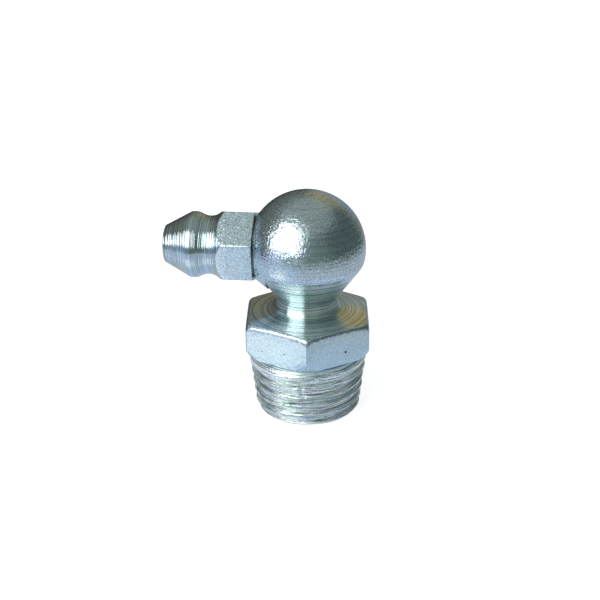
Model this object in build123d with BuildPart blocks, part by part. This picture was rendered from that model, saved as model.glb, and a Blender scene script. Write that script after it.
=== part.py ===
"""Right-angled grease nipple: a ball-shaped elbow turned from hexagon bar, with a
tapered thread below and a pressed-in hydraulic nipple head at its side.

Frame: the origin is the centre of the threaded end's face, +Z runs up the thread
axis to the ball, and the nipple head points along -X. Lengths are millimetres.

Four pieces:
  body        ball, neck, spanner hexagon and tapered stud, one turned piece
  insert      nipple head on its hexagon shank, pressed into the ball
  check_ball  steel ball that closes the mouth of the head
  spring      coil spring that holds the ball on its seat
"""

import os
from math import acos, cos, degrees, radians, sin, sqrt, tan

from build123d import *

# ------------------------------------------------------------------ driving sizes
# Threaded stud. Radii are over the thread crests, and the stud is a plain taper here.
THREAD_LENGTH = 5.6
THREAD_SMALL_RADIUS = 4.80
THREAD_LARGE_RADIUS = 5.42
END_CHAMFER_HEIGHT = 0.5
END_CHAMFER_DEPTH = 0.35
RELIEF_WIDTH = 0.55
RELIEF_RADIUS = 4.85

# Spanner hexagon: the tool turned its corners away below and faced it to a flat cone
HEX_ACROSS_FLATS = 11.0
HEX_HEIGHT = 3.1  # at the corners
HEX_TURN = 6.3  # degrees from a corner facing -Y, seen from above
HEX_CHAMFER_DEPTH = 0.5  # taken off each corner, across the axis
HEX_CHAMFER_ANGLE = 57.0  # degrees from level
HEX_CROWN_ANGLE = 9.0  # slope of the upper face, degrees from level
HEX_RIM_ROUND = 0.5  # radius turned on the corners above

# Neck and ball
NECK_RADIUS = 2.79
NECK_LENGTH = 1.16
NECK_FLARE_RADIUS = 0.6
BALL_RADIUS = 5.25
BALL_TAPER_ANGLE = 36.4  # degrees from the axis, between the neck and the ball
BALL_BREAK_ANGLE = 15.0  # degrees below the equator, where the taper starts
BALL_BLEND_RADIUS = 2.0

# Grease duct and the seat for the insert
DUCT_RADIUS = 1.5
DUCT_CHAMFER = 0.3
CROSS_DRILL_RADIUS = 1.7
CROSS_DRILL_OVERRUN = 0.2  # past the far wall of the duct
RING_FACE_DISTANCE = 4.34  # from the ball's centre to the face the insert seats on
RING_FACE_RADIUS = 3.05
RING_LENGTH = 1.0  # from the face back into the ball
RING_ANGLE = 35.0  # degrees from the nipple axis, flank of the raised ring
SPIGOT_END_CLEARANCE = 0.15

# Nipple insert, along the nipple axis from the ring face outward
COLLAR_RADIUS = 2.75
COLLAR_LENGTH = 0.20
SHANK_ACROSS_FLATS = 6.0
SHANK_LENGTH = 2.67  # hexagon, at its corners
SHANK_TURN = 20.0  # degrees from a corner facing -Y, towards +Z
SHOULDER_ANGLE = 43.0  # degrees from the nipple axis
GROOVE_RADIUS = 1.45  # hollow of the head's neck
GROOVE_BOTTOM_RADIUS = 2.61  # from the nipple axis
HEAD_BACK_RADIUS = 1.25
HEAD_RADIUS = 2.96
HEAD_LAND_LENGTH = 0.32
HEAD_CONE_LENGTH = 2.35
TIP_RADIUS = 1.68
TIP_DOME_HEIGHT = 0.20
SPIGOT_RADIUS = 2.30
SPIGOT_LENGTH = 2.50

# Valve inside the insert
MOUTH_RADIUS = 0.70
MOUTH_LENGTH = 0.35
CHAMBER_RADIUS = 1.35
CHECK_BALL_RADIUS = 1.25
SEAT_CLEARANCE = 0.03
LIP_RADIUS = 0.95
LIP_LENGTH = 0.35
SPRING_MEAN_RADIUS = 1.0
SPRING_WIRE_RADIUS = 0.14
SPRING_TURNS = 6
SPRING_WIRE_SIDES = 6  # the thin wire has a six-sided section, to keep its faces few
SPRING_CLEARANCE = 0.02  # at each end of the spring

# ------------------------------------------------------------------ derived places
# Heights above the threaded end's face
HEX_BOTTOM_Z = THREAD_LENGTH + RELIEF_WIDTH
HEX_RIM_Z = HEX_BOTTOM_Z + HEX_HEIGHT
HEX_CORNER_RADIUS = HEX_ACROSS_FLATS / 2 / cos(radians(30))
HEX_CHAMFER_RISE = HEX_CHAMFER_DEPTH * tan(radians(HEX_CHAMFER_ANGLE))
CROWN_RISE = (HEX_CORNER_RADIUS - NECK_RADIUS) * tan(radians(HEX_CROWN_ANGLE))
NECK_FOOT_Z = HEX_RIM_Z + CROWN_RISE
NECK_TOP_Z = NECK_FOOT_Z + NECK_LENGTH
BREAK_RADIUS = BALL_RADIUS * cos(radians(BALL_BREAK_ANGLE))
BREAK_Z = NECK_TOP_Z + (BREAK_RADIUS - NECK_RADIUS) / tan(radians(BALL_TAPER_ANGLE))
BALL_Z = BREAK_Z + BALL_RADIUS * sin(radians(BALL_BREAK_ANGLE))

# Distances along the nipple axis from the ball's centre, positive towards the tip
SPIGOT_END = RING_FACE_DISTANCE - SPIGOT_LENGTH
SHANK_BACK = RING_FACE_DISTANCE + COLLAR_LENGTH
SHANK_FRONT = SHANK_BACK + SHANK_LENGTH
SHANK_CORNER_RADIUS = SHANK_ACROSS_FLATS / 2 / cos(radians(30))

# Head outline: a hollow groove runs tangent into the round back of the head
GROOVE_TURN = degrees(
    acos(1 - (HEAD_RADIUS - GROOVE_BOTTOM_RADIUS) / (GROOVE_RADIUS + HEAD_BACK_RADIUS))
)
SHOULDER_FOOT_RADIUS = GROOVE_BOTTOM_RADIUS + GROOVE_RADIUS * (1 - cos(radians(SHOULDER_ANGLE)))
SHOULDER_RISE = SHANK_CORNER_RADIUS - SHOULDER_FOOT_RADIUS
GROOVE_BOTTOM = (
    SHANK_FRONT
    + SHOULDER_RISE / tan(radians(SHOULDER_ANGLE))
    + GROOVE_RADIUS * sin(radians(SHOULDER_ANGLE))
)
HEAD_BACK = GROOVE_BOTTOM + (GROOVE_RADIUS + HEAD_BACK_RADIUS) * sin(radians(GROOVE_TURN))
HEAD_FRONT = HEAD_BACK + HEAD_LAND_LENGTH
TIP_EDGE = HEAD_FRONT + HEAD_CONE_LENGTH

# Valve: the seat is a 45 degree cone from the mouth out to the chamber
SEAT_TOP = TIP_EDGE - MOUTH_LENGTH
SEAT_FOOT = SEAT_TOP - (CHAMBER_RADIUS - MOUTH_RADIUS)
CHECK_BALL_CENTRE = SEAT_TOP + MOUTH_RADIUS - sqrt(2) * (CHECK_BALL_RADIUS + SEAT_CLEARANCE)
LIP_FACE = SPIGOT_END + LIP_LENGTH
WIRE_REACH = CHECK_BALL_RADIUS + SPRING_WIRE_RADIUS + SPRING_CLEARANCE
SPRING_FRONT = CHECK_BALL_CENTRE - sqrt(WIRE_REACH**2 - SPRING_MEAN_RADIUS**2)
SPRING_BACK = LIP_FACE + SPRING_WIRE_RADIUS + SPRING_CLEARANCE
SPRING_LENGTH = SPRING_FRONT - SPRING_BACK

# Local x runs out along the nipple axis, local y runs up
NIPPLE_PLANE = Plane(origin=(0, 0, BALL_Z), x_dir=(-1, 0, 0), z_dir=(0, 1, 0))
NIPPLE_AXIS = Axis((0, 0, BALL_Z), (-1, 0, 0))


def nipple_station(distance):
    """Plane across the nipple axis, facing the tip, with local x along -Y."""
    return Plane(origin=(-distance, 0, BALL_Z), x_dir=(0, -1, 0), z_dir=(-1, 0, 0))


# ------------------------------------------------------------------ body
with BuildPart() as body:
    # Hexagon bar, turned to the outline of the spanner hexagon and the neck above it
    with BuildSketch(Plane.XY.offset(HEX_BOTTOM_Z)):
        RegularPolygon(HEX_ACROSS_FLATS / 2, 6, major_radius=False, rotation=HEX_TURN - 90)
    extrude(amount=NECK_TOP_Z - HEX_BOTTOM_Z)
    with BuildSketch(Plane.XZ) as hexagon_outline:
        with BuildLine():
            Polyline(
                (0, HEX_BOTTOM_Z),
                (HEX_CORNER_RADIUS - HEX_CHAMFER_DEPTH, HEX_BOTTOM_Z),
                (HEX_CORNER_RADIUS, HEX_BOTTOM_Z + HEX_CHAMFER_RISE),
                (HEX_CORNER_RADIUS, HEX_RIM_Z),
                (NECK_RADIUS, NECK_FOOT_Z),
                (NECK_RADIUS, NECK_TOP_Z),
                (0, NECK_TOP_Z),
                close=True,
            )
        make_face()
        rim = hexagon_outline.vertices().sort_by_distance((HEX_CORNER_RADIUS, HEX_RIM_Z))[0]
        fillet(rim, radius=HEX_RIM_ROUND)
        neck_foot = hexagon_outline.vertices().sort_by_distance((NECK_RADIUS, NECK_FOOT_Z))[0]
        fillet(neck_foot, radius=NECK_FLARE_RADIUS)
    revolve(axis=Axis.Z, mode=Mode.INTERSECT)

    # Tapered stud below the hexagon
    with BuildSketch(Plane.XZ):
        with BuildLine():
            Polyline(
                (0, 0),
                (THREAD_SMALL_RADIUS - END_CHAMFER_DEPTH, 0),
                (THREAD_SMALL_RADIUS, END_CHAMFER_HEIGHT),
                (THREAD_LARGE_RADIUS, THREAD_LENGTH),
                (RELIEF_RADIUS, THREAD_LENGTH),
                (RELIEF_RADIUS, HEX_BOTTOM_Z),
                (0, HEX_BOTTOM_Z),
                close=True,
            )
        make_face()
    revolve(axis=Axis.Z)

    # Taper and ball on top of the neck
    with BuildSketch(Plane.XZ) as ball_outline:
        with BuildLine():
            Polyline((0, NECK_TOP_Z), (NECK_RADIUS, NECK_TOP_Z), (BREAK_RADIUS, BREAK_Z))
            CenterArc((0, BALL_Z), BALL_RADIUS, -BALL_BREAK_ANGLE, 90 + BALL_BREAK_ANGLE)
            Line((0, BALL_Z + BALL_RADIUS), (0, NECK_TOP_Z))
        make_face()
        ball_break = ball_outline.vertices().sort_by_distance((BREAK_RADIUS, BREAK_Z))[0]
        fillet(ball_break, radius=BALL_BLEND_RADIUS)
    revolve(axis=Axis.Z)

    # Ring of metal raised round the insert, with the flat face that the insert seats on
    with Locations(nipple_station(RING_FACE_DISTANCE - RING_LENGTH)):
        Cone(
            bottom_radius=RING_FACE_RADIUS + RING_LENGTH * tan(radians(RING_ANGLE)),
            top_radius=RING_FACE_RADIUS,
            height=RING_LENGTH,
            align=(Align.CENTER, Align.CENTER, Align.MIN),
        )
    with BuildSketch(nipple_station(RING_FACE_DISTANCE)):
        Circle(RING_FACE_RADIUS)
    extrude(amount=BALL_RADIUS - RING_FACE_DISTANCE, mode=Mode.SUBTRACT)

    # Cross hole for the spigot, and the duct that rises to it
    with Locations(nipple_station(RING_FACE_DISTANCE)):
        CounterBoreHole(
            radius=CROSS_DRILL_RADIUS,
            counter_bore_radius=SPIGOT_RADIUS,
            counter_bore_depth=SPIGOT_LENGTH + SPIGOT_END_CLEARANCE,
            depth=RING_FACE_DISTANCE + DUCT_RADIUS + CROSS_DRILL_OVERRUN,
        )
    with Locations(Plane.XY.rotated((180, 0, 0))):
        CounterSinkHole(
            radius=DUCT_RADIUS,
            counter_sink_radius=DUCT_RADIUS + DUCT_CHAMFER,
            depth=BALL_Z,
            counter_sink_angle=90,
        )

body.part.label = "body"

# ------------------------------------------------------------------ insert
with BuildPart() as insert:
    # Hexagon bar, then everything turned from it
    with BuildSketch(nipple_station(SPIGOT_END)):
        RegularPolygon(SHANK_ACROSS_FLATS / 2, 6, major_radius=False, rotation=SHANK_TURN)
    extrude(amount=TIP_EDGE + TIP_DOME_HEIGHT - SPIGOT_END)
    with BuildSketch(NIPPLE_PLANE):
        with BuildLine():
            back = Polyline(
                (SPIGOT_END, 0),
                (SPIGOT_END, SPIGOT_RADIUS),
                (RING_FACE_DISTANCE, SPIGOT_RADIUS),
                (RING_FACE_DISTANCE, COLLAR_RADIUS),
                (SHANK_BACK, COLLAR_RADIUS),
                (SHANK_BACK, SHANK_CORNER_RADIUS),
                (SHANK_FRONT, SHANK_CORNER_RADIUS),
            )
            shoulder = PolarLine(
                back @ 1,
                length=SHOULDER_RISE / sin(radians(SHOULDER_ANGLE)),
                angle=-SHOULDER_ANGLE,
            )
            groove = JernArc(
                shoulder @ 1,
                shoulder % 1,
                radius=GROOVE_RADIUS,
                arc_size=SHOULDER_ANGLE + GROOVE_TURN,
            )
            head_back = JernArc(
                groove @ 1, groove % 1, radius=HEAD_BACK_RADIUS, arc_size=-GROOVE_TURN
            )
            land = Line(head_back @ 1, (HEAD_FRONT, HEAD_RADIUS))
            cone = Line(land @ 1, (TIP_EDGE, TIP_RADIUS))
            tip = SagittaArc(cone @ 1, (TIP_EDGE, -TIP_RADIUS), TIP_DOME_HEIGHT, mode=Mode.PRIVATE)
            dome = ThreePointArc(cone @ 1, tip @ 0.25, tip @ 0.5)
            Line(dome @ 1, (SPIGOT_END, 0))
        make_face()
    revolve(axis=NIPPLE_AXIS, mode=Mode.INTERSECT)

    # Mouth, ball seat, chamber, and the lip rolled in behind the spring
    with BuildSketch(NIPPLE_PLANE):
        with BuildLine():
            Polyline(
                (SPIGOT_END, 0),
                (SPIGOT_END, LIP_RADIUS),
                (LIP_FACE, LIP_RADIUS),
                (LIP_FACE, CHAMBER_RADIUS),
                (SEAT_FOOT, CHAMBER_RADIUS),
                (SEAT_TOP, MOUTH_RADIUS),
                (TIP_EDGE + TIP_DOME_HEIGHT, MOUTH_RADIUS),
                (TIP_EDGE + TIP_DOME_HEIGHT, 0),
                close=True,
            )
        make_face()
    revolve(axis=NIPPLE_AXIS, mode=Mode.SUBTRACT)

insert.part.label = "insert"

# ------------------------------------------------------------------ check ball
with BuildPart() as check_ball:
    with Locations(nipple_station(CHECK_BALL_CENTRE)):
        Sphere(CHECK_BALL_RADIUS)

check_ball.part.label = "check_ball"

# ------------------------------------------------------------------ spring
with BuildPart() as spring:
    with BuildLine() as coil:
        Helix(
            pitch=SPRING_LENGTH / SPRING_TURNS,
            height=SPRING_LENGTH,
            radius=SPRING_MEAN_RADIUS,
            center=(-SPRING_BACK, 0, BALL_Z),
            direction=(-1, 0, 0),
        )
    with BuildSketch(Plane(origin=coil.line @ 0, z_dir=coil.line % 0)):
        RegularPolygon(SPRING_WIRE_RADIUS, SPRING_WIRE_SIDES)
    sweep(path=coil.line, is_frenet=True)

spring.part.label = "spring"

# ------------------------------------------------------------------ export
os.makedirs("parts", exist_ok=True)
export_step(body.part, "parts/body.step")
export_step(insert.part, "parts/insert.step")
export_step(check_ball.part, "parts/check_ball.step")
export_step(spring.part, "parts/spring.step")
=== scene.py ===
"""Looks of a right-angled grease nipple: a tapered thread, a spanner hexagon and a ball,
turned in one piece, with a hydraulic nipple head pressed into the side of the ball.

The origin is the centre of the threaded end's face, +Z runs up the thread's axis and the
nipple head points along -X. Sizes are millimetres, and become metres when a mesh is made.

Every turned form has an outline at each angle round its axis, cut to the hexagon bar that
the tool left standing there. The outlines are then joined into one skin, so that the
scalloped edges come out by themselves.
"""

import logging
from collections.abc import Callable, Sequence
from dataclasses import dataclass, field
from enum import Enum
from math import acos, atan2, ceil, cos, degrees, hypot, pi, radians, sin, sqrt, tan

import bmesh
import bpy
from bpy.types import ID, Material, Mesh, Node, NodeSocket, Object, World
from mathutils import Matrix, Vector, noise

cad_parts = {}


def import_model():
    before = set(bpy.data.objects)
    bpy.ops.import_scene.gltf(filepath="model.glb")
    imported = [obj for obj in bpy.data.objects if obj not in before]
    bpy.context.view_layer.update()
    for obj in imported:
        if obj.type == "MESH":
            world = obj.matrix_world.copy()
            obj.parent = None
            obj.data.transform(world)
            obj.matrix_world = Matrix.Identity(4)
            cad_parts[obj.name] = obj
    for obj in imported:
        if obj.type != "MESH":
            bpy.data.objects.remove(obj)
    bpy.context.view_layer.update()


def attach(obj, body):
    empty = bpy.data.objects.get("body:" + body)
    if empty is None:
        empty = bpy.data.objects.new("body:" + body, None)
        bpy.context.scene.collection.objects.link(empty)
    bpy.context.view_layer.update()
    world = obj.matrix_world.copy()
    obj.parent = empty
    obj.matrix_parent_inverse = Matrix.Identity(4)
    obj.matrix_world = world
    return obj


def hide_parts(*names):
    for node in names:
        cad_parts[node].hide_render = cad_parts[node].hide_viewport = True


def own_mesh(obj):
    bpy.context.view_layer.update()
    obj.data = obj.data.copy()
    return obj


MM = 0.001
WELD_DISTANCE = 2e-8  # metres
SHARP_ANGLE = 38.0  # degrees, edges sharper than this are not smoothed

Colour = tuple[float, float, float]
Pair = tuple[float, float]

log = logging.getLogger("grease_nipple")


# ---------------- finishes
class Surface(Enum):
    """The ways in which the steel of the two turned pieces is left."""

    TURNED = 0
    BAR = 1
    THREAD = 2
    BALL = 3
    # dark finish of the holes' insides, also used as painted shade on the thread's lower flanks and on the
    # insert's collar in the seam
    BORE = 4


TURNED, BAR, THREAD, BALL, BORE = Surface


class Recipe:
    """A short way to write the shader nodes of a material or a world."""

    def __init__(self, owner: Material | World) -> None:
        """Empties the node tree.

        Args:
            owner: what has the tree.
        """
        owner.use_nodes = True
        self.tree = owner.node_tree
        self.tree.nodes.clear()

    def add(self, kind: str, inputs: dict | None = None, **settings: object) -> Node:
        """Adds a node and fills its inputs.

        Args:
            kind: Blender's name of the node, without "ShaderNode".
            inputs: a constant or a socket for each input's name or number.
            settings: the node's options.

        Returns:
            The new node.
        """
        node = self.tree.nodes.new("ShaderNode" + kind)
        for name, value in settings.items():
            setattr(node, name, value)
        for key, value in (inputs or {}).items():
            if isinstance(value, NodeSocket):
                self.tree.links.new(value, node.inputs[key])
            else:
                node.inputs[key].default_value = value
        return node

    def out(self, kind: str, inputs: dict | None = None, **settings: object) -> NodeSocket:
        """Adds a node and returns its first output."""
        return self.add(kind, inputs, **settings).outputs[0]

    def math(self, operation: str, *values: object) -> NodeSocket:
        """Adds a sum that Blender calls by this name."""
        return self.out("Math", dict(enumerate(values)), operation=operation)

    def vector(self, operation: str, inputs: dict) -> NodeSocket:
        """Adds a sum of vectors that Blender calls by this name."""
        return self.out("VectorMath", inputs, operation=operation)

    def blend(self, share: object, first: object, second: object, how: str = "MIX") -> NodeSocket:
        """Mixes two colours, the node's inputs 6 and 7, by the second's share."""
        inputs = {0: share, 6: first, 7: second}
        return self.add("Mix", inputs, data_type="RGBA", blend_type=how).outputs[2]

    def noise(self, place: object, scale: float, detail: float = 2.0, output: int | str = 0) -> NodeSocket:
        """Adds clouds round 0.5, as many for each unit of the place as the scale says."""
        inputs = {"Vector": place, "Scale": scale, "Detail": detail}
        return self.add("TexNoise", inputs).outputs[output]

    def ramp(self, value: object, low: float, high: float) -> NodeSocket:
        """Stretches what lies between low and high over 0 to 1, with soft ends."""
        return self.out("MapRange", {0: value, 1: low, 2: high}, interpolation_type="SMOOTHSTEP")

    def shade(self, colour: NodeSocket, value: NodeSocket, reach: float, share: float) -> NodeSocket:
        """Darkens or brightens a colour by up to a share, at that reach below or above 0.5."""
        limits = (value, 0.5 - reach, 0.5 + reach, 1 - share, 1 + share)
        return self.blend(1.0, colour, self.out("MapRange", dict(enumerate(limits))), "MULTIPLY")

    def close(self, kind: str, inputs: dict) -> None:
        """Adds a shader and makes it what a material shows."""
        self.add("OutputMaterial", {"Surface": self.out(kind, inputs)})

    def seen(self) -> NodeSocket:
        """Adds 1 for rays from the camera, from mirrors and through glass, 0 for others.

        Returns:
            The number.
        """
        path = self.add("LightPath").outputs
        rays = self.math("ADD", path["Is Camera Ray"], path["Is Glossy Ray"])
        return self.math("MINIMUM", self.math("ADD", rays, path["Is Transmission Ray"]), 1.0)


@dataclass(frozen=True)
class PlatedSteel:
    """Zinc plated steel, its colour between two tints. Lines of the tool run round the axis,
    grain lies over them. Heights and spacings are in mm.
    """

    name: str
    tint: Colour
    second_tint: Colour
    roughness: float
    line_height: float = 0.0
    line_spacing: float = 0.12
    line_shade: float = 0.0  # share by which the colour is painted darker in a tool line's groove and lighter on its ridge, painted shade and light
    line_drift: float = 0.004  # how soon a line fades, 1 is as soon as the next begins
    cloud_height: float = 0.0
    cloud_spacing: float = 0.3
    grain_spacing: float = 0.12
    crystal_lean: float = 0.0  # how far single grains of the zinc lean
    speckle: float = 0.0  # share by which single grains are darker or brighter
    pit_share: float = 0.0
    pit_edge: float = 0.02
    pit_colour: Colour = (0.05, 0.06, 0.07)
    pits_per_mm: float = 1.7
    drifts_per_mm: float = 0.45
    stretch: float = 0.0  # of highlights, across the tool's lines
    metal: float = 1.0  # share of bare metal, the rest is a dull bloom

    def material(self, piece: str, lying: float | None) -> Material:
        """Makes the material for a piece.

        Args:
            piece: the piece's name.
            lying: height of its lying axis, mm, or None for the standing one.

        Returns:
            The material.
        """
        made = bpy.data.materials.new(f"{piece}_{self.name}")
        recipe = Recipe(made)
        place = recipe.add("TexCoord").outputs["Object"]
        place = recipe.vector("SCALE", {0: place, "Scale": 1 / MM})
        lines = self.tool_lines(recipe, place, lying)
        crystals = recipe.noise(place, 1 / self.grain_spacing, detail=1.0, output="Color")
        drift = recipe.noise(place, self.drifts_per_mm, detail=3.0)
        drift = recipe.ramp(drift, low=0.35, high=0.65)
        colour = recipe.blend(drift, (*self.tint, 1), (*self.second_tint, 1))
        if self.speckle:
            grain = recipe.out("SeparateXYZ", {0: crystals})
            colour = recipe.shade(colour, grain, reach=0.2, share=self.speckle)
        # painted shade in the grooves of the tool lines and painted light on their ridges, from the same
        # value as their bump
        if self.line_shade:
            colour = recipe.shade(colour, lines, reach=0.15, share=self.line_shade)
        clouds = recipe.noise(place, 1 / self.cloud_spacing)
        height = recipe.math("MULTIPLY", lines, self.line_height)
        height = recipe.math("MULTIPLY_ADD", clouds, self.cloud_height, height)
        if self.pit_share:
            edge = 1 - self.pit_share
            pits = recipe.noise(place, self.pits_per_mm, detail=1.0)
            pits = recipe.ramp(pits, edge, edge + self.pit_edge)
            colour = recipe.blend(pits, colour, (*self.pit_colour, 1))
        bump = recipe.out("Bump", {"Height": height, "Distance": MM, "Strength": 1.0})
        lean = recipe.vector("SUBTRACT", {0: crystals, 1: (0.5, 0.5, 0.5)})
        lean = recipe.vector("SCALE", {0: lean, "Scale": self.crystal_lean})
        normal = recipe.vector("NORMALIZE", {0: recipe.vector("ADD", {0: bump, 1: lean})})
        axis = "Z" if lying is None else "X"
        inputs = {
            "Base Color": colour,
            "Metallic": self.metal,
            "Roughness": self.roughness,
            "Anisotropic": self.stretch,
            "Anisotropic Rotation": 0.25,  # of a turn, so across the lines
            "Normal": normal,
            "Tangent": recipe.out("Tangent", direction_type="RADIAL", axis=axis),
        }
        recipe.close("BsdfPrincipled", inputs)
        return made

    def tool_lines(self, recipe: Recipe, place: NodeSocket, lying: float | None) -> NodeSocket:
        """Adds lines that run round the axis.

        Args:
            recipe: the tree to add to.
            place: the place, in mm.
            lying: height of a lying axis.

        Returns:
            A value round 0.5.
        """
        x, y, z = recipe.add("SeparateXYZ", {0: place}).outputs
        along, across, up = z, x, y
        if lying is not None:
            along, across, up = x, y, recipe.math("SUBTRACT", z, lying)
        squares = [recipe.math("MULTIPLY", part, part) for part in (across, up)]
        radius = recipe.math("SQRT", recipe.math("ADD", *squares))
        drift = recipe.math("MULTIPLY", across, self.line_drift)
        flat = recipe.out("CombineXYZ", {0: radius, 1: along, 2: drift})
        return recipe.noise(flat, 1 / self.line_spacing, detail=2.5)


SHARED_FINISHES = (
    PlatedSteel(
        "thread", (0.82, 1.0, 0.90), (0.82, 0.94, 0.98), 0.28,
        line_height=0.06, line_spacing=0.09, line_shade=0.75, line_drift=0.04,
        crystal_lean=0.6, speckle=0.4, metal=0.78,
    ),
    PlatedSteel(
        "ball", (0.60, 0.74, 0.78), (0.60, 0.70, 0.79), 0.27,
        line_height=0.015, line_spacing=0.17, line_shade=0.12, line_drift=0.02,
        cloud_height=0.035, grain_spacing=0.13, crystal_lean=0.38, speckle=0.25,
    ),
    # dark steel of the holes' insides; on the thread's lower flanks and on the insert's collar it is
    # painted shade
    PlatedSteel("bore_and_shade", (0.16, 0.18, 0.19), (0.12, 0.14, 0.15), 0.4),
)
BODY_FINISHES = (
    PlatedSteel(
        "turned", (0.72, 0.91, 0.94), (0.74, 0.89, 0.87), 0.26,
        line_height=0.05, line_spacing=0.15, line_shade=0.55, stretch=1.0,
    ),
    PlatedSteel(
        "bar", (0.60, 0.77, 0.84), (0.58, 0.72, 0.80), 0.22,
        cloud_height=0.03, grain_spacing=0.13, crystal_lean=0.2, speckle=0.12, pit_share=0.24,
    ),
    *SHARED_FINISHES,
)
INSERT_FINISHES = (
    PlatedSteel(
        "turned", (0.60, 0.74, 0.80), (0.60, 0.71, 0.75), 0.17,
        line_height=0.085, line_spacing=0.13, line_shade=0.20, stretch=0.3,
    ),
    PlatedSteel(
        "bar", (0.62, 0.77, 0.83), (0.60, 0.73, 0.80), 0.24,
        cloud_height=0.02, grain_spacing=0.13, crystal_lean=0.7, speckle=0.45, metal=0.8,
    ),
    *SHARED_FINISHES,
)


@dataclass(frozen=True)
class BrightSteel:
    """Plain bright steel, for the ball and the spring of the valve."""

    name: str
    tint: Colour
    roughness: float

    def material(self) -> Material:
        """Makes the material.

        Returns:
            The material.
        """
        made = bpy.data.materials.new(self.name)
        recipe = Recipe(made)
        inputs = {"Base Color": (*self.tint, 1), "Metallic": 1.0, "Roughness": self.roughness}
        recipe.close("BsdfPrincipled", inputs)
        return made


# ---------------- outlines and skins
@dataclass(frozen=True)
class Station:
    """A point of an outline: its radius and height, and the surface that ends there."""

    radius: float
    height: float
    surface: Surface

    def towards(self, other: "Station", share: float) -> "Station":
        """Returns the station at that share of the way to another, with its surface."""
        radius = self.radius + (other.radius - self.radius) * share
        return Station(radius, self.height + (other.height - self.height) * share, other.surface)


class Outline:
    """A growing list of stations, whose points are a radius and a height in mm. Outlines
    that are joined must grow in the same steps, which are the faces along each stretch.
    """

    def __init__(self, radius: float, height: float, surface: Surface) -> None:
        """Starts the outline at a point."""
        self.stations = [Station(radius, height, surface)]

    def line(self, radius: float, height: float, surface: Surface = TURNED, steps: int = 1) -> None:
        """Goes straight to a point."""
        start, goal = self.stations[-1], Station(radius, height, surface)
        self.stations += [start.towards(goal, (i + 1) / steps) for i in range(steps)]

    def lines(self, surface: Surface, *points: Pair) -> None:
        """Goes straight from point to point."""
        for point in points:
            self.line(*point, surface)

    def round(self, corner: Pair, goal: Pair, surface: Surface = TURNED, steps: int = 3) -> None:
        """Rounds a corner, from the last station to the goal.

        Args:
            corner: the sharp corner.
            goal: where the rounding ends.
            surface: its surface.
            steps: faces along it.
        """
        start = self.stations[-1]
        peak, last = Station(*corner, surface), Station(*goal, surface)
        for i in range(1, steps + 1):
            share = i / steps
            self.stations.append(start.towards(peak, share).towards(peak.towards(last, share), share))

    def arc(self, centre: Pair, size: float, angles: Pair, surface: Surface, steps: int) -> None:
        """Follows an arc. Its first point is taken to be the last station.

        Args:
            centre: its centre.
            size: its radius, mm.
            angles: the first and last, degrees up from straight outward.
            surface: its surface.
            steps: faces along it.
        """
        for i in range(1, steps + 1):
            turn = radians(angles[0] + (angles[1] - angles[0]) * i / steps)
            point = centre[0] + size * cos(turn), centre[1] + size * sin(turn)
            self.stations.append(Station(*point, surface))


@dataclass(frozen=True)
class HexagonBar:
    """Hexagon bar with slightly rounded corners, sizes in mm."""

    across_flats: float
    turn: float  # degrees, of one corner
    corner_round: float
    corner_reach: float = 1.25  # how far the closer columns go, 1 is the rounding's end

    @property
    def sharp_radius(self) -> float:
        """Distance from the axis to a corner without rounding."""
        return self.across_flats / 2 / cos(radians(30))

    @property
    def corner_radius(self) -> float:
        """Distance from the axis to the rounded corner."""
        return (self.across_flats / 2 - self.corner_round) / cos(radians(30)) + self.corner_round

    def radius(self, angle: float) -> float:
        """Distance from the axis to the bar's side.

        Args:
            angle: degrees round the axis.

        Returns:
            The distance, mm.
        """
        off = radians(abs((angle - self.turn + 30) % 60 - 30))
        centre = self.corner_radius - self.corner_round
        half = self.corner_round * sin(radians(30))
        if off < atan2(half, centre + self.corner_round * cos(radians(30))):
            side = self.corner_round**2 - (centre * sin(off)) ** 2
            return centre * cos(off) + sqrt(side)
        return self.across_flats / 2 / cos(radians(30) - off)

    def columns(self, on_flat: int, on_corner: int) -> list[float]:
        """Angles for a skin's columns, closer together at the corners.

        Args:
            on_flat: columns on each flat.
            on_corner: columns on each half corner.

        Returns:
            Degrees, the last a full turn after the first.
        """
        half = self.corner_round * sin(radians(30))
        width = self.corner_reach * degrees(atan2(half, self.corner_radius))
        steps = [width * i / on_corner for i in range(on_corner)]
        steps += [width + (60 - 2 * width) * i / on_flat for i in range(on_flat + 1)]
        steps += [60 - width * i / on_corner for i in range(on_corner - 1, 0, -1)]
        return [self.turn + 60 * side + step for side in range(6) for step in steps] + [self.turn + 360]


def skin(
    name: str,
    columns: Sequence[float],
    outline: Callable[[float], list[Station]],
    place: Callable[[float, float, float], Vector],
    ends: bool = False,
) -> Mesh:
    """Joins the outlines at all angles into one closed skin.

    Args:
        name: name of the mesh.
        columns: degrees round the axis.
        outline: gives the stations at an angle, the same number at each.
        place: turns radians, radius and height into a point in mm.
        ends: whether the first and last outline are closed with a face.

    Returns:
        The mesh, in metres, with its surfaces' numbers.
    """
    mesh = bmesh.new()
    before: list[bmesh.types.BMVert] = []
    for angle in columns:
        stations = outline(angle)
        column = [mesh.verts.new(place(radians(angle), s.radius, s.height) * MM) for s in stations]
        for low in range(len(before) - 1):
            face = mesh.faces.new((before[low], column[low], column[low + 1], before[low + 1]))
            face.material_index = stations[low + 1].surface.value
        if ends and angle in (columns[0], columns[-1]):
            mesh.faces.new(column)
        before = column
    made = bpy.data.meshes.new(name)
    weld(mesh, made)
    return made


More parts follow.
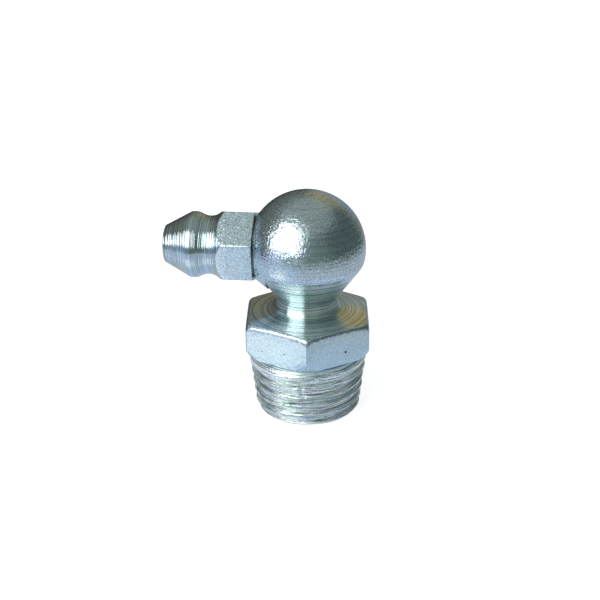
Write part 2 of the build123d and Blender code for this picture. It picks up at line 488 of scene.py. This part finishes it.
def weld(mesh: bmesh.types.BMesh, made: Mesh) -> None:
    """Joins points that coincide, removes faces without width and writes the mesh.

    Args:
        mesh: the faces, used up.
        made: what is written.
    """
    bmesh.ops.remove_doubles(mesh, verts=mesh.verts, dist=WELD_DISTANCE)
    bmesh.ops.dissolve_degenerate(mesh, edges=mesh.edges, dist=WELD_DISTANCE)
    bmesh.ops.recalc_face_normals(mesh, faces=mesh.faces)
    mesh.to_mesh(made)
    mesh.free()


def hang(name: str, data: ID) -> Object:
    """Puts an object in the scene.

    Args:
        name: its name.
        data: its mesh, lamp or camera.

    Returns:
        The object.
    """
    made = bpy.data.objects.new(name, data)
    bpy.context.scene.collection.objects.link(made)
    return made


def show(name: str, mesh: Mesh, materials: Sequence[Material]) -> Object:
    """Puts a mesh in the scene and dresses it.

    Args:
        name: its name.
        mesh: the mesh.
        materials: a material for each surface.

    Returns:
        The object.
    """
    for material in materials:
        mesh.materials.append(material)
    smooth(mesh)
    return hang(name, mesh)


def smooth(mesh: Mesh) -> None:
    """Smooths a mesh, apart from its sharp edges."""
    mesh.shade_smooth()
    mesh.set_sharp_from_angle(angle=radians(SHARP_ANGLE))


def carve(piece: Object, tool: Object, operation: str) -> None:
    """Joins a tool's shape to a piece, or cuts it away, and removes the tool.

    Args:
        piece: what is changed.
        tool: what is used up.
        operation: UNION or DIFFERENCE.
    """
    step = piece.modifiers.new("carve", "BOOLEAN")
    step.operation = operation
    step.object = tool
    step.solver = "EXACT"
    graph = bpy.context.evaluated_depsgraph_get()
    old, shape = piece.data, tool.data
    piece.data = bpy.data.meshes.new_from_object(piece.evaluated_get(graph))
    piece.modifiers.clear()
    mesh = bmesh.new()
    mesh.from_mesh(piece.data)
    weld(mesh, piece.data)
    bpy.data.objects.remove(tool)
    bpy.data.meshes.remove(old)
    bpy.data.meshes.remove(shape)


# ---------------- body
@dataclass(frozen=True)
class Scar:
    """A rough hollow in the thread, where the metal was torn or knocked."""

    place: Pair  # degrees round the axis, mm above the end face
    reach: Pair  # degrees, mm
    depth: float  # mm
    grid: Pair = (0.5, 4.0)  # lumps of the floor, for each degree and mm
    floor: float = 0.3  # share of the depth where there is no lump

    def cut(self, angle: float, height: float) -> float:
        """Depth of the hollow.

        Args:
            angle: degrees round the axis.
            height: mm above the end face.

        Returns:
            The depth, mm.
        """
        off = (angle - self.place[0] + 180) % 360 - 180
        across = off / self.reach[0]
        up = (height - self.place[1]) / self.reach[1]
        inside = 1 - across**2 - up**2
        if inside <= 0:
            return 0.0
        rough = noise.noise(Vector((off * self.grid[0], height * self.grid[1], self.place[0])))
        return self.depth * min(1.0, 2 * inside) * max(0.0, self.floor + rough)


@dataclass
class Thread:
    """Right-handed thread on the tapered stud, mm."""

    length: float = 5.6
    small_radius: float = 4.80
    large_radius: float = 5.42
    chamfer_height: float = 0.5
    chamfer_depth: float = 0.35
    pitch: float = 0.96
    depth: float = 0.42
    upper_flank: float = 30.0  # degrees from square to the axis
    lower_flank: float = 33.0
    crest_width: float = 0.16
    crest_round: float = 0.04
    start_turn: float = 0.29  # share of a turn
    groove_end: float = 5.15  # height at which the groove has run out
    run_out: float = 0.4
    crest_wear: float = 0.12
    lumps: Pair = (3.1, 0.8)  # of the wear, for each radian round the axis and mm up
    chips: Pair = (16, 2.5)
    chip_share: float = 0.8
    relief_height: float = 5.25
    relief_slope: float = 0.84
    scars: tuple[Scar, ...] = (
        Scar((-77, 4.95), (24, 0.28), 0.12),
        Scar((-91, 3.80), (3.0, 0.75), 0.14),
        Scar((-104, 5.10), (1.5, 0.14), 0.25),
    )

    def crest_radius(self, height: float) -> float:
        """Returns the taper's radius at a height."""
        share = (height - self.chamfer_height) / (self.length - self.chamfer_height)
        return self.small_radius + (self.large_radius - self.small_radius) * share

    def hollow(self, above: float) -> float:
        """Depth of the groove.

        Args:
            above: mm above the lower side of a crest, less than the pitch.

        Returns:
            The depth below the crest's middle, mm.
        """
        if above <= self.crest_width:
            return self.crest_round * (2 * above / self.crest_width - 1) ** 2
        upper = (above - self.crest_width) / tan(radians(self.upper_flank))
        lower = (self.pitch - above) / tan(radians(self.lower_flank))
        return min(self.depth, self.crest_round + min(upper, lower))

    def radius(self, angle: float, height: float) -> float:
        """Radius of the threaded surface.

        Args:
            angle: degrees round the axis.
            height: mm above the end face.

        Returns:
            The radius, mm.
        """
        turns = height / self.pitch - angle / 360 - self.start_turn
        above = turns % 1 * self.pitch
        middle = height + (self.pitch + self.crest_width) / 2 - above
        fade = min(1.0, max(0.0, (self.groove_end - middle) / self.run_out))
        spot = Vector((cos(radians(angle)), sin(radians(angle)), 0))
        lumps, chips = (
            max(0.0, noise.noise(spot * grid[0] + Vector((0, 0, height * grid[1]))))
            for grid in (self.lumps, self.chips)
        )
        wear = self.crest_wear * (lumps + self.chip_share * chips)
        cut = max(self.hollow(above), wear) * fade
        cut += sum(scar.cut(angle, height) for scar in self.scars)
        chamfer = self.small_radius - self.chamfer_depth * (1 - height / self.chamfer_height)
        relief = self.crest_radius(self.relief_height)
        relief -= self.relief_slope * (height - self.relief_height)
        return min(self.crest_radius(height) - cut, chamfer, relief)

    def stations(self, angle: float) -> list[Station]:
        """Stations at an angle, from the end face to the relief.

        Args:
            angle: degrees round the axis.

        Returns:
            The stations, the same number at each angle.
        """
        upper = (self.depth - self.crest_round) * tan(radians(self.upper_flank))
        lower = (self.depth - self.crest_round) * tan(radians(self.lower_flank))
        # painted shade: the flank under each crest gets the dark finish of the holes, for the dark line of
        # shade under the crest
        steps = [(self.crest_width * i / 4, TURNED if i else BORE) for i in range(5)]
        steps += [(self.crest_width + above, THREAD) for above in (upper / 2, upper)]
        steps += [(self.pitch - lower, THREAD), (self.pitch - lower / 2, BORE)]
        lift = self.pitch * (angle / 360 + self.start_turn)
        made = []
        for turn in range(-2, ceil(self.length / self.pitch) + 1):
            for above, surface in steps:
                height = min(self.length, max(0.0, self.pitch * turn + lift + above))
                if not self.chamfer_height <= height < self.groove_end - self.run_out:
                    surface = THREAD
                made.append(Station(self.radius(angle, height), height, surface))
        return made


@dataclass
class Body:
    """Ball, neck, spanner hexagon and tapered stud, one turned piece. Sizes in mm."""

    thread: Thread = field(default_factory=Thread)
    bar: HexagonBar = HexagonBar(11.0, -90 + 6.3, 0.22)
    finishes: tuple[PlatedSteel, ...] = BODY_FINISHES
    relief_width: float = 0.55
    relief_radius: float = 4.85
    relief_step: float = 0.08
    relief_round: float = 0.15
    hexagon_height: float = 3.1
    lower_chamfer_depth: float = 0.5
    lower_chamfer_angle: float = 57.0
    crown_angle: float = 9.0
    crown_flat: float = 5.2  # radius inside which the crown is round all the way
    rim_round: float = 0.5
    edge_round: float = 0.10
    edge_share: float = 0.9  # of the chamfer, the most that its rounding takes
    foot_edge: float = 0.02  # last narrow face of the underside
    worn_depth: float = 0.42  # of the upper edge, down the flat
    worn_width: float = 0.30
    neck_radius: float = 2.79
    neck_length: float = 1.16
    neck_flare: float = 0.6
    neck_round: float = 0.1
    ball_radius: float = 5.25
    taper_angle: float = 36.4
    break_angle: float = 15.0
    break_blend: float = 0.38
    tip_angle: float = 80.0  # above it the ball ends in a flat cone
    duct_radius: float = 1.5
    duct_chamfer: float = 0.3
    cross_radius: float = 1.7
    cross_overrun: float = 0.2
    ring_distance: float = 4.34
    ring_radius: float = 3.05
    ring_length: float = 1.0
    ring_angle: float = 35.0
    ring_round: Pair = (0.035, 0.05)  # of its edge: outward, back
    ring_clearance: float = 0.6  # of the flat that is cut on the ball round the ring
    spigot_radius: float = 2.30
    spigot_depth: float = 2.65

    @property
    def hexagon_foot(self) -> float:
        """Height of the hexagon's underside."""
        return self.thread.length + self.relief_width

    @property
    def neck_foot(self) -> float:
        """Height at which the crown would meet the neck."""
        rise = (self.bar.sharp_radius - self.neck_radius) * tan(radians(self.crown_angle))
        return self.hexagon_foot + self.hexagon_height + rise

    @property
    def neck_top(self) -> float:
        """Height at which the taper under the ball starts."""
        return self.neck_foot + self.neck_length

    @property
    def ball_height(self) -> float:
        """Height of the ball's centre.

        Returns:
            The height.
        """
        low = radians(self.break_angle)
        rise = (self.ball_radius * cos(low) - self.neck_radius) / tan(radians(self.taper_angle))
        return self.neck_top + rise + self.ball_radius * sin(low)

    def crown(self, radius: float) -> float:
        """Height of the turned upper side of the hexagon.

        Args:
            radius: mm from the axis.

        Returns:
            The height, with the rim's rounding.
        """
        slope = radians(self.crown_angle)
        centre = self.bar.sharp_radius - self.rim_round
        if radius <= centre + self.rim_round * sin(slope):
            return self.neck_foot - (radius - self.neck_radius) * tan(slope)
        middle = self.neck_foot - (centre - self.neck_radius) * tan(slope)
        middle -= self.rim_round / cos(slope)
        return middle + sqrt(max(0.0, self.rim_round**2 - (radius - centre) ** 2))

    def outline(self, angle: float) -> list[Station]:
        """The body's outline at an angle, from the duct's end to the top of the ball.

        Args:
            angle: degrees round the axis.

        Returns:
            Its stations.
        """
        thread, foot = self.thread, self.hexagon_foot
        path = Outline(0, self.ball_height, BORE)
        path.line(self.duct_radius, self.ball_height, BORE)
        path.line(self.duct_radius, self.duct_chamfer, BORE, steps=4)
        path.line(self.duct_radius + self.duct_chamfer, 0, BORE)
        path.line(thread.radius(angle, 0), 0, steps=3)
        path.stations += thread.stations(angle)
        waist, edge = self.relief_radius, self.relief_round
        path.lines(TURNED, (waist, thread.length + self.relief_step), (waist, foot - edge))
        path.round((waist, foot), (waist + edge, foot))
        self.add_hexagon(path, self.bar.radius(angle))
        self.add_neck(path)
        self.add_ball(path)
        return path.stations

    def add_hexagon(self, path: Outline, side: float) -> None:
        """Adds the hexagon, from its underside to the crown.

        Args:
            path: the outline so far.
            side: the bar's radius at this angle.
        """
        foot, edge = self.hexagon_foot, self.edge_round
        start = self.bar.sharp_radius - self.lower_chamfer_depth
        slope = radians(self.lower_chamfer_angle)
        width = max(0.0, side - start)
        top = foot + width * tan(slope)
        path.line(min(side, start) - self.foot_edge, foot, steps=3)
        path.line(min(side, start), foot)
        back = min(edge * cos(slope), width * self.edge_share)
        path.line(side - back, top - back * tan(slope), BALL, steps=2)
        path.round((side, top), (side, top + edge), BAR)
        rim = self.crown(side)
        path.line(side, rim - self.worn_depth, BAR, steps=4)
        outer = side - self.worn_width
        path.round((side, rim), (outer, self.crown(outer)), BALL, steps=5)
        for i in range(1, 9):
            radius = outer + (self.crown_flat - outer) * i / 8
            path.line(radius, self.crown(radius))

    def add_neck(self, path: Outline) -> None:
        """Adds the crown's inner part, the flare and the neck.

        Args:
            path: the outline so far.
        """
        slope, flare = radians(self.crown_angle), self.neck_flare
        line = self.neck_foot - flare * tan(slope)
        centre = (self.neck_radius + flare, line + flare / cos(slope))
        start = centre[0] - flare * sin(slope)
        path.line(start, self.crown(start), steps=6)
        path.arc(centre, flare, (270 - self.crown_angle, 180), TURNED, steps=6)
        path.line(self.neck_radius, self.neck_top - self.neck_round, steps=2)

    def add_ball(self, path: Outline) -> None:
        """Adds the taper and the ball.

        Args:
            path: the outline so far.
        """
        size, low, slope = self.ball_radius, radians(self.break_angle), radians(self.taper_angle)
        rise = self.ball_height - self.neck_top - size * sin(low)
        radius, top, edge = self.neck_radius, self.neck_top, self.neck_round
        path.round((radius, top), (radius + edge * sin(slope), top + edge * cos(slope)))
        reach = rise / cos(slope) - self.break_blend
        path.line(radius + reach * sin(slope), top + reach * cos(slope), steps=6)
        begin = -self.break_angle + degrees(self.break_blend / size)
        start = radians(begin)
        ball = (size * cos(start), self.ball_height + size * sin(start))
        path.round((size * cos(low), top + rise), ball, BALL, steps=4)
        path.arc((0, self.ball_height), size, (begin, self.tip_angle), BALL, steps=33)
        path.line(0, self.ball_height + size, BALL, steps=2)

    def build(self) -> Object:
        """Builds the body, with its ring and its holes.

        Returns:
            The piece.
        """

        def place(turn: float, radius: float, height: float) -> Vector:
            """Stands the outline on the thread's axis."""
            return Vector((radius * cos(turn), radius * sin(turn), height))

        materials = [finish.material("body", None) for finish in self.finishes]
        columns = self.bar.columns(on_flat=44, on_corner=4)
        mesh = skin("body_skin", columns, self.outline, place)
        piece = show("nipple_body", mesh, materials)
        carve(piece, show("ring", self.ring(), materials), "UNION")
        carve(piece, show("bores", self.bores(), materials), "DIFFERENCE")
        smooth(piece.data)
        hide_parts("body")
        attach(piece, "nipple")
        return piece

    def place_across(self, turn: float, radius: float, distance: float) -> Vector:
        """Turns angle, radius and distance along the nipple's axis into a point, mm."""
        return Vector((-distance, -radius * cos(turn), self.ball_height + radius * sin(turn)))

    def turned(self, name: str, path: Outline, step: float, start: float = 0.0) -> Mesh:
        """Turns a path round the nipple's axis, a step of so many degrees at a time."""
        angles = [step * i + start for i in range(round(360 / step) + 1)]
        return skin(name, angles, lambda angle: path.stations, self.place_across)

    def ring(self) -> Mesh:
        """Makes the ring that stands round the insert and runs back into the ball.

        Returns:
            The ring.
        """
        radius, face = self.ring_radius, self.ring_distance
        back, (out, edge) = face - self.ring_length, self.ring_round
        path = Outline(0, back, TURNED)
        path.line(radius + self.ring_length * tan(radians(self.ring_angle)), back)
        path.line(radius + out, face - edge, BALL, steps=4)
        path.round((radius, face), (radius - edge, face))
        path.line(0, face)
        return self.turned("ring", path, step=3.0)

    def bores(self) -> Mesh:
        """Makes the spigot's hole and the cross hole behind it, and in front of them a wide
        part that cuts the ball flat round the ring.

        Returns:
            The shape to cut away.
        """
        front, wide = self.ball_radius + 1, self.ring_radius + self.ring_clearance
        step = self.ring_distance - self.spigot_depth
        end = -self.duct_radius - self.cross_overrun
        path = Outline(0, end, BORE)
        path.lines(BORE, (self.cross_radius, end), (self.cross_radius, step))
        path.lines(BORE, (self.spigot_radius, step), (self.spigot_radius, self.ring_distance))
        path.lines(TURNED, (wide, self.ring_distance), (wide, front), (0, front))
        return self.turned("bores", path, step=5.0, start=1.3)


# ---------------- insert
@dataclass
class Insert:
    """Nipple head on its hexagon shank, pressed into the ball. Sizes in mm."""

    body: Body
    bar: HexagonBar = HexagonBar(6.0, 20.0, 0.18)
    finishes: tuple[PlatedSteel, ...] = INSERT_FINISHES
    spigot_radius: float = 2.29
    spigot_length: float = 2.50
    collar_radius: float = 2.75
    collar_length: float = 0.20
    seam: float = 0.01  # between the ring's face and the collar
    shank_length: float = 2.67
    shank_round: float = 0.06
    shoulder_angle: float = 43.0
    groove_radius: float = 1.45
    groove_bottom_radius: float = 2.61
    back_radius: float = 1.25
    head_radius: float = 2.96
    head_round: float = 0.08
    land_length: float = 0.32
    cone_length: float = 2.35
    tip_radius: float = 1.68
    tip_dome: float = 0.20
    tip_round: float = 0.05
    mouth_radius: float = 0.70
    mouth_length: float = 0.35
    chamber_radius: float = 1.35
    lip_radius: float = 0.95
    lip_length: float = 0.35

    @property
    def back(self) -> float:
        """Distance of the spigot's end from the ball's centre."""
        return self.body.ring_distance - self.spigot_length

    @property
    def shank_back(self) -> float:
        """Distance of the shank's back from the ball's centre."""
        return self.body.ring_distance + self.collar_length

    @property
    def shank_front(self) -> float:
        """Distance at which the shank's corners end."""
        return self.shank_back + self.shank_length

    @property
    def groove_turn(self) -> float:
        """Degrees from the groove's bottom to the round back of the head."""
        share = (self.head_radius - self.groove_bottom_radius) / (self.groove_radius + self.back_radius)
        return degrees(acos(1 - share))

    @property
    def groove_bottom(self) -> float:
        """Distance of the groove's bottom from the ball's centre.

        Returns:
            The distance.
        """
        lean = radians(self.shoulder_angle)
        foot = self.groove_bottom_radius + self.groove_radius * (1 - cos(lean))
        run = (self.bar.sharp_radius - foot) / tan(lean)
        return self.shank_front + run + self.groove_radius * sin(lean)

    @property
    def head_back(self) -> float:
        """Distance at which the head reaches its full width."""
        reach = self.groove_radius + self.back_radius
        return self.groove_bottom + reach * sin(radians(self.groove_turn))

    @property
    def tip_edge(self) -> float:
        """Distance of the edge between cone and tip."""
        return self.head_back + self.land_length + self.cone_length

    def outline(self, angle: float) -> list[Station]:
        """The insert's outline at an angle, from the lip behind the spring round the outside
        and back through the mouth. Its heights are distances along the nipple's axis.

        Args:
            angle: degrees round that axis.

        Returns:
            Its stations.
        """
        side, foot, edge = self.bar.radius(angle), self.shank_back, self.shank_round
        collar = self.body.ring_distance + self.seam
        path = Outline(self.lip_radius, self.back, BORE)
        path.line(self.spigot_radius, self.back, steps=2)
        path.line(self.spigot_radius, collar, BORE, steps=2)
        # painted shade: the collar, in the seam between the ring and the shank, gets the dark finish of
        # the holes
        path.line(self.collar_radius, collar, BORE)
        path.line(self.collar_radius, foot, BORE, steps=2)
        path.line(side - edge, foot, steps=2)
        path.round((side, foot), (side, foot + edge), BAR)
        self.add_shoulder(path, side)
        self.add_head(path)
        self.add_valve(path)
        return path.stations

    def add_shoulder(self, path: Outline, side: float) -> None:
        """Adds the flat of the shank and the cone that cuts it.

        Args:
            path: the outline so far.
            side: the bar's radius at this angle.
        """
        lean, edge, size = radians(self.shoulder_angle), self.shank_round, self.groove_radius
        corner = self.shank_front + (self.bar.sharp_radius - side) / tan(lean)
        path.line(side, corner - edge, BAR, steps=4)
        goal = (side - edge * sin(lean), corner + edge * cos(lean))
        path.round((side, corner), goal)
        foot = self.groove_bottom_radius + size * (1 - cos(lean))
        middle = (self.groove_bottom_radius + size, self.groove_bottom)
        if side - edge > foot:
            path.line(foot, self.groove_bottom - size * sin(lean), steps=3)
            first = self.shoulder_angle
        else:
            path.line(*goal, steps=3)
            first = degrees(acos((middle[0] - goal[0]) / size))
        path.arc(middle, size, (180 + first, 180), TURNED, steps=8)

    def add_head(self, path: Outline) -> None:
        """Adds the groove's far side, the head and its tip.

        Args:
            path: the outline so far.
        """
        middle = (self.groove_bottom_radius + self.groove_radius, self.groove_bottom)
        path.arc(middle, self.groove_radius, (180, 180 - self.groove_turn), TURNED, steps=5)
        centre = (self.head_radius - self.back_radius, self.head_back)
        path.arc(centre, self.back_radius, (-self.groove_turn, 0), TURNED, steps=5)
        head, front, edge = self.head_radius, self.head_back + self.land_length, self.head_round
        path.line(head, front - edge)
        run = hypot(head - self.tip_radius, self.cone_length)
        inward, onward = (head - self.tip_radius) / run, self.cone_length / run
        path.round((head, front), (head - edge * inward, front + edge * onward))
        tip, edge = self.tip_radius, self.tip_round
        path.line(tip + edge * inward, self.tip_edge - edge * onward, steps=6)
        path.round((tip, self.tip_edge), (tip - edge, self.dome(tip - edge)))
        for i in range(1, 6):
            radius = tip - edge - (tip - 2 * edge - self.mouth_radius) * i / 5
            path.line(radius, self.dome(radius))

    def dome(self, radius: float) -> float:
        """Distance of the domed tip from the ball's centre, at a radius."""
        size = (self.tip_radius**2 + self.tip_dome**2) / (2 * self.tip_dome)
        return self.tip_edge + self.tip_dome - size + sqrt(size**2 - radius**2)

    def add_valve(self, path: Outline) -> None:
        """Adds the mouth, the seat, the chamber and the lip rolled in behind the spring.

        Args:
            path: the outline so far.
        """
        mouth, lip = self.mouth_radius, self.back + self.lip_length
        seat = self.tip_edge - self.mouth_length
        edge = self.dome(mouth)
        path.round((mouth, edge), (mouth, edge - self.tip_round), BORE, steps=2)
        path.line(mouth, seat, BORE, steps=2)
        path.line(self.chamber_radius, seat - (self.chamber_radius - mouth), BORE)
        path.line(self.chamber_radius, lip, BORE, steps=4)
        path.lines(BORE, (self.lip_radius, lip), (self.lip_radius, self.back))

    def build(self) -> Object:
        """Builds the insert.

        Returns:
            The piece.
        """
        axis = self.body.ball_height
        materials = [finish.material("insert", axis) for finish in self.finishes]
        columns = self.bar.columns(on_flat=30, on_corner=3)
        mesh = skin("insert_skin", columns, self.outline, self.body.place_across)
        piece = show("nipple_insert", mesh, materials)
        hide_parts("insert")
        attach(piece, "nipple")
        return piece


# ---------------- valve
@dataclass
class Valve:
    """Steel ball that closes the mouth, and the coil spring behind it. Sizes in mm."""

    insert: Insert
    ball_radius: float = 1.25
    seat_clearance: float = 0.03
    spring_radius: float = 1.0
    wire_radius: float = 0.14
    wire_sides: int = 12
    coils: int = 6
    coil_steps: int = 36
    end_clearance: float = 0.02
    travel: float = 1.5
    ball_steel: BrightSteel = BrightSteel("ball_bright", (0.75, 0.76, 0.78), 0.08)
    spring_steel: BrightSteel = BrightSteel("spring_bright", (0.6, 0.6, 0.6), 0.25)

    @property
    def ball_distance(self) -> float:
        """Distance of the closed valve's ball from the elbow's centre."""
        seat = self.insert.tip_edge - self.insert.mouth_length + self.insert.mouth_radius
        return seat - sqrt(2) * (self.ball_radius + self.seat_clearance)

    def build_ball(self) -> Object:
        """Builds the ball.

        Returns:
            The piece.
        """
        path = Outline(0, self.ball_distance - self.ball_radius, TURNED)
        path.arc((0, self.ball_distance), self.ball_radius, (-90, 90), TURNED, steps=40)
        mesh = self.insert.body.turned("valve_ball", path, step=5.0)
        piece = show("valve_ball", mesh, [self.ball_steel.material()])
        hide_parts("check_ball")
        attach(piece, "valve")
        return piece

    def build_spring(self) -> Object:
        """Builds the spring.

        Returns:
            The piece.
        """
        insert, wire = self.insert, self.wire_radius
        reach = self.ball_radius + wire + self.end_clearance
        front = self.ball_distance - sqrt(reach**2 - self.spring_radius**2)
        back = insert.back + insert.lip_length + wire + self.end_clearance

        def outline(angle: float) -> list[Station]:
            """The wire's round section, at its place along the coil.

            Args:
                angle: degrees from the coil's back end.

            Returns:
                Its stations.
            """
            distance = back + (front - back) * angle / (360 * self.coils)
            path = Outline(self.spring_radius + wire, distance, TURNED)
            path.arc((self.spring_radius, distance), wire, (0, 360), TURNED, self.wire_sides)
            return path.stations

        columns = [360 * i / self.coil_steps for i in range(self.coil_steps * self.coils + 1)]
        mesh = skin("valve_spring", columns, outline, insert.body.place_across, ends=True)
        piece = show("valve_spring", mesh, [self.spring_steel.material()])
        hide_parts("spring")
        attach(piece, "nipple")
        anchor = insert.body.place_across(0, 0, back - wire) * MM
        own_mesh(piece)
        return piece


# ---------------- studio
LAVENDER = (0.53, 0.61, 0.76)


@dataclass(frozen=True)
class Card:
    """A piece of the canopy that the steel mirrors, or of the floor, below the horizon.

    Seen from the ball's centre, around is degrees from the front (-Y) to the right (+X)
    and up is degrees above the horizon.
    """

    around: Pair
    up: Pair
    colour: Colour = LAVENDER


@dataclass
class Studio:
    """Pale floor, a window, the canopy that the steel mirrors, and the camera."""

    canopy_radius: float = 400.0  # mm
    floor_size: float = 3.0  # metres
    floor_glow: float = 0.80
    floor_colour: Colour = (0.4, 0.4, 0.4)
    sky_colour: Colour = (0.86, 0.92, 1.0)
    sky_light: float = 0.65
    window_angle: float = -39.5  # from the front towards the right
    window_place: Pair = (200, 182)  # mm out, up
    window_size: Pair = (235, 276)  # mm
    window_light: float = 3.0  # 1 is white
    target_height: float = 11.0  # mm
    distance: float = 110.762  # mm
    elevation: float = 23.575
    azimuth: float = 6.924
    roll: float = -0.5454
    lens: float = 73.73
    shift: Pair = (-0.012253, -0.010425)
    eye_height: float = 15.4  # mm
    floor_gap: float = 0.1  # mm, from the floor to the cards that lie on it
    card_width: float = 6.0  # degrees, of one face
    card_rows: int = 8
    cards: tuple[Card, ...] = (
        Card((-180, 180), (46, 90), (0.30, 0.33, 0.30)),
        Card((-70, -42), (8, 46), (0.10, 0.13, 0.13)),
        Card((-70, -42), (-13, 8)),
        Card((-42, -9), (-13, 46), (0.10, 0.13, 0.13)),
        Card((-9, 50), (-13, 46), (0.15, 0.19, 0.17)),
        Card((50, 140), (-13, 46), (0.08, 0.105, 0.10)),
        Card((140, 152), (-13, 46), (0.19, 0.19, 0.13)),
        Card((152, 168), (18, 46), (0.32, 0.26, 0.14)),
        Card((168, 185), (18, 46), (0.42, 0.33, 0.16)),
        Card((152, 185), (-13, 18), (0.26, 0.30, 0.34)),
        Card((185, 290), (12, 46), (0.14, 0.145, 0.13)),
        Card((185, 290), (-13, 12), (0.05, 0.055, 0.05)),
        Card((-9, 265), (-38, -13), (0.49, 0.52, 0.55)),
        Card((-35, -9), (-38, -13)),
        Card((-62, -35), (-26, -13)),
        Card((-62, -35), (-51, -45), (0.58, 0.68, 0.82)),
        Card((-95, -62), (-51, -13)),
        Card((-95, -35), (-75, -51)),
        Card((-35, 265), (-68, -38)),
        # painted shadow: a dark patch of floor close under the object, where its shadow lies, seen by the
        # steel's mirrors only
        Card((70, 150), (-75, -68), (0.06, 0.07, 0.07)),
        Card((150, 265), (-75, -68)),
        Card((-35, 70), (-75, -68)),
    )

    def build_floor(self) -> None:
        """Lays the floor, white to the camera and to mirrors, with the object's shadow."""
        half = self.floor_size / 2
        mesh = bpy.data.meshes.new("floor")
        corners = [(-half, -half, 0), (half, -half, 0), (half, half, 0), (-half, half, 0)]
        mesh.from_pydata(corners, [], [(0, 1, 2, 3)])
        made = bpy.data.materials.new("floor")
        recipe = Recipe(made)
        strength = recipe.math("MULTIPLY", recipe.seen(), self.floor_glow)
        glow = recipe.out("Emission", {"Color": (1, 1, 1, 1), "Strength": strength})
        paper = recipe.out("BsdfDiffuse", {"Color": (*self.floor_colour, 1)})
        recipe.close("AddShader", {0: glow, 1: paper})
        mesh.materials.append(made)
        hang("floor", mesh)

    def build_world(self) -> None:
        """Makes the world white to look at, with a plain soft light."""
        world = bpy.data.worlds.new("studio")
        bpy.context.scene.world = world
        recipe = Recipe(world)
        inputs = {"Color": (*self.sky_colour, 1), "Strength": self.sky_light}
        light = recipe.out("Background", inputs)
        white = recipe.out("Background", {"Color": (1, 1, 1, 1), "Strength": 1.0})
        both = recipe.out("MixShader", {0: recipe.seen(), 1: light, 2: white})
        recipe.add("OutputWorld", {"Surface": both})

    def build_canopy(self) -> None:
        """Hangs the cards round the object, seen by its mirrors only."""
        for number, card in enumerate(self.cards):
            name = f"card_{number}"
            (left, right), (low, high) = card.around, card.up
            across = max(2, round((right - left) / self.card_width))
            columns = [left + (right - left) * i / across for i in range(across + 1)]
            rows = [radians(low + (high - low) * j / self.card_rows) for j in range(self.card_rows + 1)]
            stations = [self.canopy_station(up) for up in rows]
            mesh = skin(name, columns, lambda angle: stations, place_round)
            material = bpy.data.materials.new(name)
            recipe = Recipe(material)
            recipe.close("Emission", {"Color": (*card.colour, 1), "Strength": 1.0})
            mesh.materials.append(material)
            sheet = hang(name, mesh)
            for rays in ("camera", "diffuse", "shadow", "transmission"):
                setattr(sheet, f"visible_{rays}", False)

    def canopy_station(self, up: float) -> Station:
        """Finds where a look from the ball's centre ends.

        Args:
            up: radians above the horizon.

        Returns:
            A place on the canopy, or on the floor under it.
        """
        reach = self.canopy_radius
        if up < 0:
            reach = min(reach, (self.eye_height - self.floor_gap) / sin(-up))
        return Station(reach * cos(up), self.eye_height + reach * sin(up), TURNED)

    def build_window(self) -> None:
        """Hangs the flat lamp."""
        turn = radians(self.window_angle)
        lamp = bpy.data.lights.new("window", "AREA")
        lamp.shape = "RECTANGLE"
        lamp.size, lamp.size_y = (size * MM for size in self.window_size)
        lamp.energy = pi * lamp.size * lamp.size_y * self.window_light
        made = hang("window", lamp)
        made.location = place_round(turn, *self.window_place) * MM
        made.rotation_mode = "QUATERNION"
        made.rotation_quaternion = place_round(turn, -1, 0).to_track_quat("-Z", "Y")
        made.visible_camera = False

    def build_camera(self) -> None:
        """Sets up the camera."""
        az, el, roll = (radians(a) for a in (self.azimuth, self.elevation, self.roll))
        back = place_round(az, cos(el), sin(el))
        right = Vector((cos(az), sin(az), 0))
        up = back.cross(right)
        rolled_right = right * cos(roll) + up * sin(roll)
        rolled_up = up * cos(roll) - right * sin(roll)
        data = bpy.data.cameras.new("camera")
        data.sensor_fit = "HORIZONTAL"
        data.sensor_width = 36
        data.lens = self.lens
        data.shift_x, data.shift_y = self.shift
        data.clip_start, data.clip_end = 0.01, 10
        camera = hang("camera", data)
        turn = Matrix((rolled_right, rolled_up, back)).transposed().to_4x4()
        place = Vector((0, 0, self.target_height)) * MM + back * self.distance * MM
        camera.matrix_world = Matrix.Translation(place) @ turn
        bpy.context.scene.camera = camera

    def build(self) -> None:
        """Builds the whole studio."""
        self.build_floor()
        self.build_world()
        self.build_canopy()
        self.build_window()
        self.build_camera()
        bpy.context.scene.view_settings.view_transform = "Standard"


def place_round(turn: float, radius: float, height: float) -> Vector:
    """Returns the point at an angle in radians, from the front to the right, and a height."""
    return Vector((sin(turn) * radius, -cos(turn) * radius, height))


def report(piece: Object) -> None:
    """Logs a piece's name and its number of triangles."""
    triangles = sum(len(p.vertices) - 2 for p in piece.data.polygons)
    log.info("%s: %d triangles", piece.name, triangles)


def main() -> None:
    """Builds the nipple and the studio."""
    logging.basicConfig(level=logging.INFO, format="%(name)s: %(message)s")
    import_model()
    body = Body()
    insert = Insert(body)
    valve = Valve(insert)
    for build in (body.build, insert.build, valve.build_ball, valve.build_spring):
        report(build())
    Studio().build()


if __name__ == "__main__":
    main()
